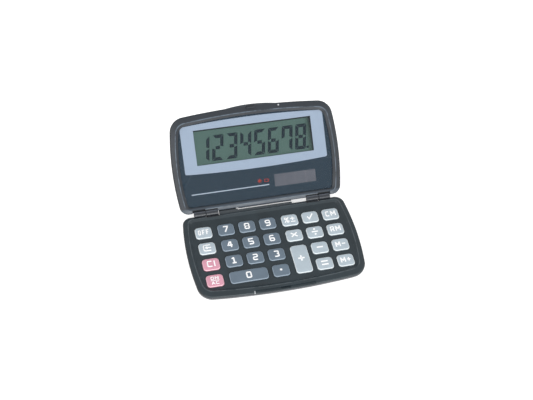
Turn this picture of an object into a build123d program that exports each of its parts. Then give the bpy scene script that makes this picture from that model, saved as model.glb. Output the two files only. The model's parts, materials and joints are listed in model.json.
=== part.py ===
from build123d import *
import math
import os

# A folding pocket calculator, open on a table: the base half lies flat, the lid half leans back.
# Origin at the centre of the base's underside, +X to the right, +Y to the hinge, +Z up, in mm.
#
# Both halves are modelled in one "leaf" frame and then placed: x along the hinge, y the distance
# from the hinge line, z the height over the rim plane, so that z = 0 is where the halves meet.

# ---- case, both halves ----
HALF_THICK = 6.5  # one half, from the rim plane to its outer face
REAR_GAP = 0.75  # hinge line to the rear wall
DEPTH = 62.1  # hinge line to the middle of the front edge
HALF_REAR = 50.35  # half widths at the rear, at the waist and at the front corner
HALF_WAIST = 52.7
HALF_FRONT = 49.95
WAIST = 30.0  # where the sides are widest
FRONT_BOW = 2.83  # bow of the front edge
REAR_CORNER = 5.5
FRONT_CORNER = 9.5
EDGE_ROUND = 4.7  # rounding from the outer face up the side walls
WALL = 1.5
BASE_FLOOR = 1.7  # thicker than the lid's, so that the open case doesn't tip back
LID_FLOOR = 0.8
OPEN_ANGLE = 137.0  # between the two rim planes at rest
FIT = 0.15  # clearance of pieces that drop into one another

# ---- inner plates: flange, crest of the rim, bevel and dish ----
FLANGE = 1.5  # the plate covers the wall down to this depth
RIM_DROP = 0.5  # the rim slopes down by this much from its crest to the outer edge
RIM_ROUND = 0.85  # rounding of that outer edge
RIM_SIDE = 2.9
RIM_FRONT = 3.5
RIM_REAR = 1.95
CREST = 0.3  # flat land along the crest
BEVEL = 1.5  # width of the bevel down to the dish
DISH_REAR_CORNER = 2.0
DISH_FRONT_CORNER = 5.0
PLATE_DISH = 1.0  # depth of the keyboard plate below the rim
PLATE = 1.2
LENS_RECESS = 0.9  # depth of the window below the rim
SEAM = 0.18  # chamfer that shows the parting line between a shell and its plate

# ---- hinge ----
KNUCKLE_R = 1.7
KNUCKLE_INNER = 28.1  # where the knuckles begin, out from the middle
KNUCKLE_SPLIT = 35.8  # lid's knuckle inside of this, base's knuckle outside
KNUCKLE_OUTER = 43.1
KNUCKLE_GAP = 0.15
KNUCKLE_CHAMFER = 0.3
RELIEF = 1.4  # pocket in the other half around a knuckle
WEB_DROP = 1.8  # the knuckle's web reaches this much further down the wall
WEB_SUNK = 0.9  # its top, below the rim plane
PIN_R = 0.6
PIN_RUN = 0.05

# ---- thumb notch, lip and snap catch ----
NOTCH_HALF = 18.2
NOTCH_DEEP = 1.8
NOTCH_DROP = 0.8  # its floor, below the rim plane
LIP_HALF = 16.0
LIP_OUT = 1.0
LIP_DROP = 2.2  # the lip's height down the lid's shell
LIP_ROUND = 1.1
CATCH_HALF = 2.5
CATCH_THICK = 0.75
CATCH_TALL = 1.1
CATCH_NIB = 0.2
CATCH_SIDE = 0.3
CATCH_STAND = 0.25  # hook to the notch wall

# ---- keys ----
PITCH_X = 13.0
PITCH_Y = 11.7
GROUP_GAP = 0.9  # extra space either side of the number block
KEY_W = 10.2
KEY_D = 8.45
KEY_CORNER = 2.1
KEY_RISE = 0.95  # crown over the plate
KEY_CROWN = 0.28
KEY_EDGE = 0.75
KEY_SLACK = 0.25  # gap between a key and its opening
KEY_FLANGE = 0.6
KEY_SHOULDER = 0.65
LAST_ROW = 48.85  # hinge line to the centres of the row nearest the user
DOME_TALL = 0.8
DOME_FOOT = 3.0
DOME_TOP = 1.7
SHEET = 0.4
SHEET_EDGE = 0.5  # of the dome sheet round the outermost keys

# ---- boards, chip, screws ----
BOARD = 0.8
BOARD_INSET = 4.8
BOARD_CORNER = 1.0  # its rear corners
CHIP = (8.0, 2.8, 0.9)
CHIP_X = 4.0
BOSS_R = 1.5
BOSS_GAP = 0.3
SCREW_R = 0.8
SCREW_LENGTH = 2.6
HEAD_R = 1.45
HEAD = 0.65
HEAD_GAP = 0.15
HEAD_SUNK = 0.1
BASE_SCREW_REAR = (36.0, 7.0)
BASE_SCREW_FRONT = (20.4, 55.4)
LID_SCREW_REAR = (43.0, 9.0)
LID_SCREW_FRONT = (43.0, 49.5)

# ---- cable cover on the base's rear edge ----
COVER_LEFT = -27.7
COVER_STEP = -15.6
COVER_RIGHT = 18.7
COVER_THICK = 1.1
COVER_LOW = 0.15  # below the outer edge of the rim
TONGUE_REAR = -1.2  # rear edges of the cover, as distances from the hinge line
SHELF_REAR = -0.3

# ---- window and display ----
LENS = 0.6
LENS_GAP = 0.1
PRINT = 0.1
SIGHT_HALF = 37.0  # printed opening over the display
SIGHT_REAR = 29.5
SIGHT_FRONT = 51.1
SIGHT_CLEAR = 1.0  # bezel opening beyond the printed one
BEZEL_FLOOR = 0.7
GLASS = 0.4  # each of the panel's two glasses
GLASS_LAP = 1.0  # glass under the bezel, beyond the printed opening plus its clearance
GLASS_LEDGE = 2.4  # contact ledge of the rear glass
POLARISER = 0.15
REFLECTOR = 0.15
CUSHION = 3.0
CUSHION_HALF = 35.0
LCD_RIB = 1.0
SOLAR_LEFT = 9.8
SOLAR_RIGHT = 36.3
SOLAR_REAR = 10.3
SOLAR_FRONT = 18.0
SOLAR_LAP = 0.4
SOLAR_THICK = 1.1
LID_BOARD_REAR = 4.9
LID_BOARD_FRONT = 23.4
LID_BOARD_HALF = 44.6
CONNECTOR = 0.12
CONNECTOR_HALF = 30.0
CONNECTOR_LAP = 2.0
COLLAR_WALL = 0.9
CELL_R = 5.8
CELL_TALL = 2.1
CELL_X = -30.0
CELL_Y = 14.0
CELL_GAP = 0.35
CONTACT = 0.2
CONTACT_PLAY = 0.05  # between the front contact and the bezel
CONTACT_W = 3.0
CONTACT_REACH = 9.5
CABLE = 0.15
CABLE_LEFT = -27.2
CABLE_RIGHT = -16.4
CABLE_LAP = 7.5  # its ends lie on the boards up to this far from the hinge line
CABLE_BEND = 3.0
CABLE_SLOT = 0.25

# ---- worked out ----
EPS = 0.01
HINGE_Y = (REAR_GAP + DEPTH) / 2
HINGE_Z = HALF_THICK
LEAN = 180.0 - OPEN_ANGLE
PLATE_TOP = -PLATE_DISH
PLATE_BOTTOM = PLATE_TOP - PLATE
KEY_BOTTOM = PLATE_BOTTOM - KEY_FLANGE
SHEET_TOP = KEY_BOTTOM - DOME_TALL
BOARD_TOP = SHEET_TOP - SHEET
BOARD_BOTTOM = BOARD_TOP - BOARD
BASE_INSIDE = BASE_FLOOR - HALF_THICK
LID_INSIDE = LID_FLOOR - HALF_THICK
LENS_TOP = -LENS_RECESS
LENS_BOTTOM = LENS_TOP - LENS
PRINT_BOTTOM = LENS_BOTTOM - PRINT
BEZEL_BOTTOM = PRINT_BOTTOM - BEZEL_FLOOR
GLASS_BOTTOM = BEZEL_BOTTOM - 2 * GLASS
LEDGE_TOP = BEZEL_BOTTOM - GLASS
GLASS_HALF = SIGHT_HALF + SIGHT_CLEAR + GLASS_LAP
GLASS_REAR = SIGHT_REAR - SIGHT_CLEAR - GLASS_LAP
GLASS_FRONT = SIGHT_FRONT + SIGHT_CLEAR + GLASS_LAP
COLUMNS = [-3 * PITCH_X - GROUP_GAP, -2 * PITCH_X, -PITCH_X, 0.0]
COLUMNS += [n * PITCH_X + GROUP_GAP for n in (1, 2, 3)]
ROWS = [LAST_ROW - n * PITCH_Y for n in (3, 2, 1, 0)]

# name: column, row, columns wide, rows tall
KEYS = {
    "key_off": (0, 0), "key_7": (1, 0), "key_8": (2, 0), "key_9": (3, 0),
    "key_percent": (4, 0), "key_root": (5, 0), "key_memory_clear": (6, 0),
    "key_backspace": (0, 1), "key_4": (1, 1), "key_5": (2, 1), "key_6": (3, 1),
    "key_multiply": (4, 1), "key_divide": (5, 1), "key_memory_recall": (6, 1),
    "key_clear_entry": (0, 2), "key_1": (1, 2), "key_2": (2, 2), "key_3": (3, 2),
    "key_plus": (4, 2, 1, 2), "key_minus": (5, 2), "key_memory_minus": (6, 2),
    "key_on": (0, 3), "key_0": (1, 3, 2, 1), "key_point": (3, 3),
    "key_equals": (5, 3), "key_memory_plus": (6, 3),
}  # fmt: skip


# ---- helpers ----
def outline(side=0.0, front=0.0, rear=0.0, rear_corner=REAR_CORNER, front_corner=FRONT_CORNER):
    """The case's outline in the leaf frame, drawn in by a margin at the sides, front and rear."""
    back = REAR_GAP + rear
    tip = DEPTH - front
    shoulder = tip - FRONT_BOW
    right = ThreePointArc(
        (HALF_REAR - side, back), (HALF_WAIST - side, WAIST), (HALF_FRONT - side, shoulder)
    )
    brow = ThreePointArc((HALF_FRONT - side, shoulder), (0, tip), (side - HALF_FRONT, shoulder))
    left = ThreePointArc(
        (side - HALF_FRONT, shoulder), (side - HALF_WAIST, WAIST), (side - HALF_REAR, back)
    )
    hem = Line((side - HALF_REAR, back), (HALF_REAR - side, back))
    face = Sketch() + make_face([right, brow, left, hem])
    face = fillet(face.vertices().group_by(Axis.Y)[0], rear_corner)
    return fillet(face.vertices().group_by(Axis.Y)[-1], front_corner)


def inset(margin):
    """The outline drawn in evenly."""
    return outline(margin, margin, margin, REAR_CORNER - margin, FRONT_CORNER - margin)


def crest(extra, corner_cut=0.0):
    """The outline of the rim's crest, drawn in by a further margin."""
    return outline(
        RIM_SIDE + extra,
        RIM_FRONT + extra,
        RIM_REAR + extra,
        DISH_REAR_CORNER - corner_cut + BEVEL,
        DISH_FRONT_CORNER - corner_cut + BEVEL,
    )


def dish_floor(gap=0.0):
    """The outline at the foot of the bevel."""
    return crest(CREST + BEVEL + gap, BEVEL)


def slab(face, low, high):
    """A flat outline between two heights."""
    return extrude(Pos(0, 0, low) * face, amount=high - low)


def block(x0, x1, y0, y1, z0, z1):
    """A plain block between two corners."""
    return Pos(x0, y0, z0) * Box(x1 - x0, y1 - y0, z1 - z0, align=Align.MIN)


def pillar(x, y, radius, low, high):
    """An upright round bar or hole."""
    return Pos(x, y, low) * extrude(Circle(radius), amount=high - low)


def rod(radius, x0, x1):
    """A round bar along the hinge line."""
    return Pos(x0, 0, 0) * extrude(Plane.YZ * Circle(radius), amount=x1 - x0)


def both_sides(piece):
    """A piece and its twin across the middle."""
    return [piece, mirror(piece, about=Plane.YZ)]


def four_screws(rear, front):
    """Centres of the four screws of one half."""
    return [(side * x, y) for x, y in (rear, front) for side in (-1, 1)]


def place_base(piece):
    """Puts a piece modelled in the leaf frame into the base half."""
    return Pos(0, HINGE_Y, HINGE_Z) * mirror(piece, about=Plane.XZ)


def place_lid(piece):
    """Puts a piece modelled in the leaf frame into the lid half, leaning back on its stop."""
    return Pos(0, HINGE_Y, HINGE_Z) * Rot(LEAN, 0, 0) * piece


# ---- outer shells with their knuckles ----
def tray(floor):
    """A moulded shell: rounded outside, hollow inside with an even wall."""
    outside = slab(inset(0), -HALF_THICK, -FLANGE)
    outside = fillet(outside.faces().sort_by(Axis.Z)[0].edges(), EDGE_ROUND)
    hollow = slab(inset(WALL), floor - HALF_THICK, -FLANGE + EPS)
    return outside - fillet(hollow.faces().sort_by(Axis.Z)[0].edges(), EDGE_ROUND - WALL)


def knuckle(x0, x1, bore):
    """One hinge knuckle with the web that carries it on the rear wall."""
    barrel = chamfer(rod(KNUCKLE_R, x0, x1).edges().filter_by(GeomType.CIRCLE), KNUCKLE_CHAMFER)
    root = REAR_GAP + WALL
    foot = -KNUCKLE_R - WEB_DROP
    web = Polyline((0, -WEB_SUNK), (root, -WEB_SUNK), (root, foot), (0, -KNUCKLE_R), close=True)
    web = extrude(Plane.YZ * make_face(web), amount=x1 - x0 - 2 * KNUCKLE_CHAMFER)
    return barrel + Pos(x0 + KNUCKLE_CHAMFER, 0, 0) * web - rod(bore, x0 - 1, x1 + 1)


def knuckle_pocket(x0, x1):
    """The hollow in one half that lets the other half's knuckle turn."""
    return rod(KNUCKLE_R + RELIEF, x0, x1)


def web_slot(x0, x1):
    """The gap in a plate's rim around the knuckle web of its own shell."""
    return block(x0 - FIT, x1 + FIT, -KNUCKLE_R, REAR_GAP + WALL + FIT, PLATE_BOTTOM, EPS)


BASE_KNUCKLE = (KNUCKLE_SPLIT + KNUCKLE_GAP / 2, KNUCKLE_OUTER)
LID_KNUCKLE = (KNUCKLE_INNER, KNUCKLE_SPLIT - KNUCKLE_GAP / 2)
BASE_POCKET = (KNUCKLE_INNER - RELIEF / 2, KNUCKLE_SPLIT)
LID_POCKET = (KNUCKLE_SPLIT, KNUCKLE_OUTER + RELIEF / 2)


def head_seat(x, y, floor):
    """Sunk hole for one screw through a shell's floor."""
    seat = pillar(x, y, HEAD_R + HEAD_GAP, -HALF_THICK - 1, -HALF_THICK + HEAD + HEAD_SUNK)
    return seat + pillar(x, y, SCREW_R + HEAD_GAP, -HALF_THICK - 1, floor + EPS)


def screws(centres):
    """Self-tapping screws, heads sunk into the outer face."""
    low = -HALF_THICK + HEAD_SUNK
    found = []
    for x, y in centres:
        head = pillar(x, y, HEAD_R, low, low + HEAD)
        head = chamfer(head.faces().sort_by(Axis.Z)[0].edges(), HEAD / 3)
        cross = block(-HEAD_R / 2, HEAD_R / 2, -HEAD / 4, HEAD / 4, low - 1, low + HEAD / 2)
        cross += Rot(0, 0, 90) * cross
        head = head - Pos(x, y, 0) * cross
        found.append(head + pillar(x, y, SCREW_R, low + HEAD, low + HEAD + SCREW_LENGTH))
    return Compound(children=found)


def bottom_case():
    """Outer shell of the base, with the outer knuckles."""
    shell = tray(BASE_FLOOR)
    for hollow in both_sides(knuckle_pocket(*BASE_POCKET)):
        shell -= hollow
    for ear in both_sides(knuckle(*BASE_KNUCKLE, PIN_R)):
        shell += ear
    shell -= cable_slot(BOARD_TOP)
    for x, y in four_screws(BASE_SCREW_REAR, BASE_SCREW_FRONT):
        shell -= head_seat(x, y, BASE_INSIDE)
    return shell


def lid_lip(low, high):
    """The bulge on the lid's front edge that a thumb lifts."""
    end = DEPTH - FRONT_BOW * (LIP_HALF / HALF_FRONT) ** 2
    bow = ThreePointArc((LIP_HALF, end), (0, DEPTH + LIP_OUT), (-LIP_HALF, end))
    back = end - WALL
    sides = Polyline((-LIP_HALF, end), (-LIP_HALF, back), (LIP_HALF, back), (LIP_HALF, end))
    return slab(Sketch() + make_face([bow, *sides.edges()]), low, high)


def lid_shell():
    """Outer shell of the lid, with the inner knuckles and the lip."""
    shell = tray(LID_FLOOR)
    lip = lid_lip(-FLANGE - LIP_DROP, -FLANGE)
    low_front = lip.faces().sort_by(Axis.Z)[0].edges().sort_by(Axis.Y)[-1]
    shell += fillet(low_front, LIP_ROUND) - slab(inset(WALL / 2), -HALF_THICK, 0)
    for hollow in both_sides(knuckle_pocket(*LID_POCKET)):
        shell -= hollow
    for ear in both_sides(knuckle(*LID_KNUCKLE, PIN_R + PIN_RUN)):
        shell += ear
    shell -= cable_slot(LEDGE_TOP)
    for x, y in four_screws(LID_SCREW_REAR, LID_SCREW_FRONT):
        shell -= head_seat(x, y, LID_INSIDE)
    return shell


# ---- inner plates ----
def rimmed_plate(bottom, dish):
    """A plate whose rim covers the shell's wall, sloping out from its crest and in to its dish."""
    plate = slab(inset(0), -FLANGE, -RIM_DROP)
    plate = chamfer(plate.faces().sort_by(Axis.Z)[0].edges(), SEAM)
    plate += loft([Pos(0, 0, -RIM_DROP) * inset(0), crest(0)], ruled=True)
    edge = [e for e in plate.edges() if abs(e.center().Z + RIM_DROP) < EPS]
    plate = fillet(edge, RIM_ROUND)
    plate += slab(inset(WALL + FIT), bottom, -FLANGE)
    return plate - loft([Pos(0, 0, -dish) * dish_floor(), crest(CREST)], ruled=True)


def key_size(columns=1, rows=1):
    """Width and depth of a key that spans some columns and rows."""
    return KEY_W + (columns - 1) * PITCH_X, KEY_D + (rows - 1) * PITCH_Y


def key_centre(column, row, columns=1, rows=1):
    """Centre of a key in the leaf frame."""
    return COLUMNS[column] + (columns - 1) * PITCH_X / 2, ROWS[row] + (rows - 1) * PITCH_Y / 2


def key_opening(place):
    """Opening in the keyboard plate for one key."""
    width, depth = key_size(*place[2:])
    hole = RectangleRounded(width + 2 * KEY_SLACK, depth + 2 * KEY_SLACK, KEY_CORNER + KEY_SLACK)
    return Pos(*key_centre(*place)) * slab(hole, PLATE_BOTTOM - 1, PLATE_TOP + 1)


def thumb_notch():
    """Step along the front edge of the base's rim, under the lid's lip, with the catch pocket."""
    inner = inset(NOTCH_DEEP)
    outer = block(-NOTCH_HALF, NOTCH_HALF, WAIST, DEPTH + 1, -NOTCH_DROP, EPS)
    step = outer - slab(inner, -FLANGE - 1, 1)
    wall = DEPTH - NOTCH_DEEP
    reach = CATCH_HALF + CATCH_SIDE
    rear = wall - CATCH_NIB - CATCH_SIDE
    front = wall + CATCH_STAND + CATCH_THICK + CATCH_SIDE
    return step + block(-reach, reach, rear, front, CATCH_SIDE - FLANGE, -RIM_DROP)


def cable_cover():
    """Shelf on the rear rim that closes most of the hinge gap; its tongue covers the cable."""
    top = -RIM_DROP - COVER_LOW
    front = REAR_GAP + WALL / 2
    shelf = block(COVER_STEP, COVER_RIGHT, SHELF_REAR, front, -FLANGE, top)
    tongue = block(COVER_LEFT, COVER_STEP, TONGUE_REAR, front, -FLANGE, top)
    shelf = fillet(shelf.edges().filter_by(Axis.X).group_by(Axis.Y)[0], COVER_THICK / 4)
    return shelf + fillet(tongue.edges().filter_by(Axis.X).group_by(Axis.Y)[0], COVER_THICK / 4)


def keyboard_plate():
    """Inner plate of the base: rim, key openings, thumb notch, cable cover and screw bosses."""
    plate = rimmed_plate(PLATE_BOTTOM, PLATE_DISH)
    for place in KEYS.values():
        plate -= key_opening(place)
    plate -= thumb_notch()
    plate += cable_cover()
    for cut in both_sides(knuckle_pocket(*BASE_POCKET)) + both_sides(web_slot(*BASE_KNUCKLE)):
        plate -= cut
    for x, y in four_screws(BASE_SCREW_REAR, BASE_SCREW_FRONT):
        plate += pillar(x, y, BOSS_R, BASE_INSIDE, PLATE_BOTTOM)
        plate -= pillar(x, y, SCREW_R, BASE_INSIDE - 1, PLATE_BOTTOM)
    return plate


def snap_catch():
    """Hook on the lid's front rim that snaps under the wall of the thumb notch."""
    inner = DEPTH - NOTCH_DEEP + CATCH_STAND
    hook = block(-CATCH_HALF, CATCH_HALF, inner, inner + CATCH_THICK, -FLANGE / 2, CATCH_TALL)
    nib = Polyline(
        (inner, CATCH_TALL), (inner - CATCH_NIB, CATCH_TALL - CATCH_NIB),
        (inner, CATCH_TALL - 3 * CATCH_NIB), close=True,
    )  # fmt: skip
    nib = extrude(Plane.YZ * make_face(nib), amount=CATCH_HALF, both=True)
    return hook + nib


def lcd_frame():
    """Rib on the bezel's underside that locates the display glass."""
    x, y0, y1 = GLASS_HALF + FIT, GLASS_REAR - GLASS_LEDGE - FIT, GLASS_FRONT + FIT
    outer = block(-x - LCD_RIB, x + LCD_RIB, y0, y1 + LCD_RIB, GLASS_BOTTOM, BEZEL_BOTTOM)
    return outer - block(-x, x, y0 - 1, y1, GLASS_BOTTOM - 1, BEZEL_BOTTOM + 1)


def display_bezel():
    """Inner frame of the lid: rim, seat for the window, ribs for the glass, bosses and catch."""
    bezel = rimmed_plate(BEZEL_BOTTOM, LENS_RECESS)
    bezel -= slab(dish_floor(), PRINT_BOTTOM, LENS_TOP + EPS)
    sight = SIGHT_HALF + SIGHT_CLEAR
    bezel -= block(
        -sight, sight, SIGHT_REAR - SIGHT_CLEAR, SIGHT_FRONT + SIGHT_CLEAR, -HALF_THICK, 0
    )
    lap = SOLAR_LAP + FIT
    bezel -= block(
        SOLAR_LEFT - lap, SOLAR_RIGHT + lap, SOLAR_REAR - lap, SOLAR_FRONT + lap, -HALF_THICK, 0
    )
    bezel += lid_lip(-FLANGE, -RIM_DROP) - slab(inset(WALL / 2), -HALF_THICK, 0)
    bezel += snap_catch() + lcd_frame()
    for cut in both_sides(knuckle_pocket(*LID_POCKET)) + both_sides(web_slot(*LID_KNUCKLE)):
        bezel -= cut
    for x, y in four_screws(LID_SCREW_REAR, LID_SCREW_FRONT):
        bezel += pillar(x, y, BOSS_R, LID_INSIDE, BEZEL_BOTTOM)
        if y < LID_BOARD_FRONT:
            bezel += pillar(x, y, BOSS_R + COLLAR_WALL, LEDGE_TOP, BEZEL_BOTTOM)
        bezel -= pillar(x, y, SCREW_R, LID_INSIDE - 1, BEZEL_BOTTOM)
    return bezel


# ---- keys and what is under them ----
def key(place):
    """One key: crowned cap with rounded edges, on a shoulder that stays under the plate."""
    width, depth = key_size(*place[2:])
    top = PLATE_TOP + KEY_RISE
    cap = slab(RectangleRounded(width, depth, KEY_CORNER), PLATE_BOTTOM, top + 1)
    half_square = (width**2 + depth**2) / 4
    radius = (half_square + KEY_CROWN**2) / (2 * KEY_CROWN)
    cap &= Pos(0, 0, top - radius) * Sphere(radius)
    cap = fillet(cap.faces().sort_by(Axis.Z)[-1].edges(), KEY_EDGE)
    shoulder = RectangleRounded(width + 2 * KEY_SHOULDER, depth + 2 * KEY_SHOULDER, KEY_CORNER)
    return Pos(*key_centre(*place)) * (cap + slab(shoulder, KEY_BOTTOM, PLATE_BOTTOM))


def dome_sheet():
    """Rubber sheet with a spring dome under each key."""
    x = COLUMNS[-1] + KEY_W / 2 + SHEET_EDGE
    y0 = ROWS[0] - KEY_D / 2 - SHEET_EDGE
    y1 = ROWS[-1] + KEY_D / 2 + SHEET_EDGE
    sheet = block(-x, x, y0, y1, BOARD_TOP, SHEET_TOP)
    dome = Cone(DOME_FOOT, DOME_TOP, DOME_TALL, align=(Align.CENTER, Align.CENTER, Align.MIN))
    for place in KEYS.values():
        sheet += Pos(*key_centre(*place), SHEET_TOP) * dome
    return sheet


def main_board():
    """Circuit board under the dome sheet, with holes for the plate's bosses."""
    board = slab(
        outline(BOARD_INSET, BOARD_INSET, BOARD_INSET, BOARD_CORNER, FRONT_CORNER - BOARD_INSET),
        BOARD_BOTTOM,
        BOARD_TOP,
    )
    for x, y in four_screws(BASE_SCREW_REAR, BASE_SCREW_FRONT):
        board -= pillar(x, y, BOSS_R + BOSS_GAP, -HALF_THICK, 0)
    return board


def processor():
    """The chip under its moulded cover, on the rear strip of the board."""
    width, depth, height = CHIP
    y = REAR_GAP + BOARD_INSET + depth / 2 + FIT
    cover = Pos(CHIP_X, y, BOARD_TOP) * Box(
        width, depth, height, align=(Align.CENTER, Align.CENTER, Align.MIN)
    )
    cover = fillet(cover.edges().filter_by(Axis.Z), depth / 3)
    return fillet(cover.faces().sort_by(Axis.Z)[-1].edges(), height / 2)


# ---- display stack ----
def display_window():
    """Clear flat window."""
    return slab(dish_floor(LENS_GAP), LENS_BOTTOM, LENS_TOP)


def window_print():
    """Printed mask on the window's back, open over the display and the solar cell."""
    mask = slab(dish_floor(LENS_GAP), PRINT_BOTTOM, LENS_BOTTOM)
    mask -= block(-SIGHT_HALF, SIGHT_HALF, SIGHT_REAR, SIGHT_FRONT, -HALF_THICK, 0)
    return mask - block(SOLAR_LEFT, SOLAR_RIGHT, SOLAR_REAR, SOLAR_FRONT, -HALF_THICK, 0)


def lcd_panel():
    """Two sealed glasses, the rear one longer for the contacts."""
    front = block(-GLASS_HALF, GLASS_HALF, GLASS_REAR, GLASS_FRONT, LEDGE_TOP, BEZEL_BOTTOM)
    ledge = GLASS_REAR - GLASS_LEDGE
    return front + block(-GLASS_HALF, GLASS_HALF, ledge, GLASS_FRONT, GLASS_BOTTOM, LEDGE_TOP)


def lcd_film(low, thick, margin):
    """Polariser or reflector on one face of the glass."""
    x = SIGHT_HALF + margin
    return block(-x, x, SIGHT_REAR - margin, SIGHT_FRONT + margin, low, low + thick)


def display_cushion():
    """Two foam strips that press the glass against the bezel."""
    low, high = LID_INSIDE, GLASS_BOTTOM - REFLECTOR
    strips = [
        block(-CUSHION_HALF, CUSHION_HALF, y, y + CUSHION, low, high)
        for y in (SIGHT_REAR, SIGHT_FRONT - CUSHION)
    ]
    return Compound(children=strips)


def display_board():
    """Small board behind the lower part of the window, open around the button cell."""
    half = LID_BOARD_HALF
    board = block(-half, half, LID_BOARD_REAR, LID_BOARD_FRONT, LEDGE_TOP - BOARD, LEDGE_TOP)
    board = fillet(board.edges().filter_by(Axis.Z), REAR_CORNER / 2)
    board -= pillar(CELL_X, CELL_Y, CELL_R + CELL_GAP, -HALF_THICK, 0)
    for x, y in four_screws(LID_SCREW_REAR, LID_SCREW_FRONT):
        board -= pillar(x, y, BOSS_R + FIT, -HALF_THICK, 0)
    return board


def display_connector():
    """Flat strip from the board to the ledge of the glass."""
    y0 = LID_BOARD_FRONT - CONNECTOR_LAP
    y1 = GLASS_REAR - GLASS_LEDGE + CONNECTOR_LAP
    x = CONNECTOR_HALF
    return block(-x, x, y0, y1, LEDGE_TOP, LEDGE_TOP + CONNECTOR)


def solar_cell():
    """Glass solar cell in its opening of the bezel."""
    lap = SOLAR_LAP
    x0, x1 = SOLAR_LEFT - lap, SOLAR_RIGHT + lap
    return block(
        x0, x1, SOLAR_REAR - lap, SOLAR_FRONT + lap, PRINT_BOTTOM - SOLAR_THICK, PRINT_BOTTOM
    )


CELL_TOP = BEZEL_BOTTOM - CONTACT - CONTACT_PLAY
CELL_BOTTOM = CELL_TOP - CELL_TALL


def button_cell():
    """Alkaline button cell, 11.6 mm across."""
    cell = pillar(CELL_X, CELL_Y, CELL_R, CELL_BOTTOM, CELL_TOP - CONTACT)
    cell = fillet(cell.edges().filter_by(GeomType.CIRCLE), CONTACT)
    return cell + pillar(CELL_X, CELL_Y, CELL_R - 2 * CELL_GAP, CELL_TOP - CONTACT, CELL_TOP)


def battery_contacts():
    """Two bent spring strips, one on each face of the cell, each soldered to the board."""
    y0, y1 = CELL_Y - CONTACT_W / 2, CELL_Y + CONTACT_W / 2
    reach = CELL_X + CONTACT_REACH
    front = block(CELL_X, reach, y0, y1, CELL_TOP, CELL_TOP + CONTACT)
    front += block(reach - CONTACT, reach, y0, y1, LEDGE_TOP, CELL_TOP + CONTACT)
    reach = CELL_X - CONTACT_REACH
    back = block(reach, CELL_X, y0, y1, CELL_BOTTOM - CONTACT, CELL_BOTTOM)
    back += block(reach, reach + CONTACT, y0, y1, CELL_BOTTOM - CONTACT, LEDGE_TOP - BOARD)
    return Compound(children=[front, back])


# ---- what crosses the hinge ----
def cable_slot(level):
    """Slot through a shell's rear wall for the flat cable, which lies on the board's face."""
    return block(
        CABLE_LEFT - CABLE_SLOT, CABLE_RIGHT + CABLE_SLOT, -1, REAR_GAP + WALL + EDGE_ROUND / 2,
        level - CABLE_SLOT, level + CABLE + CABLE_SLOT,
    )  # fmt: skip


def lean(s, n):
    """A point of the leaned lid, from the hinge line: distance along it and height over it."""
    turn = math.radians(LEAN)
    return s * math.cos(turn) - n * math.sin(turn), s * math.sin(turn) + n * math.cos(turn)


def hinge_cable():
    """Flat cable from board to board, bent once where it passes the hinge."""
    base_level = BOARD_TOP + CABLE / 2
    lid_end = lean(CABLE_LAP, LEDGE_TOP + CABLE / 2)
    run = (lid_end[1] - base_level) / math.sin(math.radians(LEAN))
    corner = lid_end[0] - run * math.cos(math.radians(LEAN))
    path = FilletPolyline(
        (-CABLE_LAP, base_level), (corner, base_level), lid_end, radius=CABLE_BEND
    )
    strip = trace(path, line_width=CABLE)
    strip = extrude(Plane.YZ * strip, amount=CABLE_RIGHT - CABLE_LEFT)
    return Pos(CABLE_LEFT, HINGE_Y, HINGE_Z) * strip


def hinge_pins():
    """Steel pins, fixed in the base's knuckles and running in the lid's."""
    end = KNUCKLE_CHAMFER
    pin = rod(PIN_R, KNUCKLE_INNER + end, KNUCKLE_OUTER - end)
    return Compound(children=both_sides(pin))


# ---- the assembly ----
base = {
    "bottom_case": bottom_case(),
    "keyboard_plate": keyboard_plate(),
    "dome_sheet": dome_sheet(),
    "main_board": main_board(),
    "processor": processor(),
    "base_screws": screws(four_screws(BASE_SCREW_REAR, BASE_SCREW_FRONT)),
    "hinge_pins": hinge_pins(),
}
base |= {name: key(place) for name, place in KEYS.items()}
lid = {
    "lid_shell": lid_shell(),
    "display_bezel": display_bezel(),
    "display_window": display_window(),
    "window_print": window_print(),
    "lcd_panel": lcd_panel(),
    "lcd_polariser": lcd_film(BEZEL_BOTTOM, POLARISER, SIGHT_CLEAR - FIT),
    "lcd_reflector": lcd_film(GLASS_BOTTOM - REFLECTOR, REFLECTOR, SIGHT_CLEAR),
    "display_cushion": display_cushion(),
    "display_board": display_board(),
    "display_connector": display_connector(),
    "solar_cell": solar_cell(),
    "button_cell": button_cell(),
    "battery_contacts": battery_contacts(),
    "lid_screws": screws(four_screws(LID_SCREW_REAR, LID_SCREW_FRONT)),
}
parts = {name: place_base(piece) for name, piece in base.items()}
parts |= {name: place_lid(piece) for name, piece in lid.items()}
parts["hinge_cable"] = hinge_cable()

os.makedirs("parts", exist_ok=True)
for name, piece in parts.items():
    export_step(piece, f"parts/{name}.step")
print(len(parts), "parts")
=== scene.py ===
# %% [markdown]
# # A folding pocket calculator, dressed
#
# The calculator stands open on a table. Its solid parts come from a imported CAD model, and this
# script gives them their finishes and adds what only a printer or a glass maker would add: the
# legends on the keys, the printing behind the window and the digits of the display. Each cell
# does one of these jobs. Everything is in metres, in the CAD model's own frame: the origin is
# the middle of the base's underside, X runs to the right along the hinge, Y away from the user
# and Z up. Loading the model comes first, because every other piece takes its place from it.

# %% Load the solid model
import json
import math
from contextlib import contextmanager

import bmesh
import bpy
from mathutils import Matrix, Vector


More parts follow.
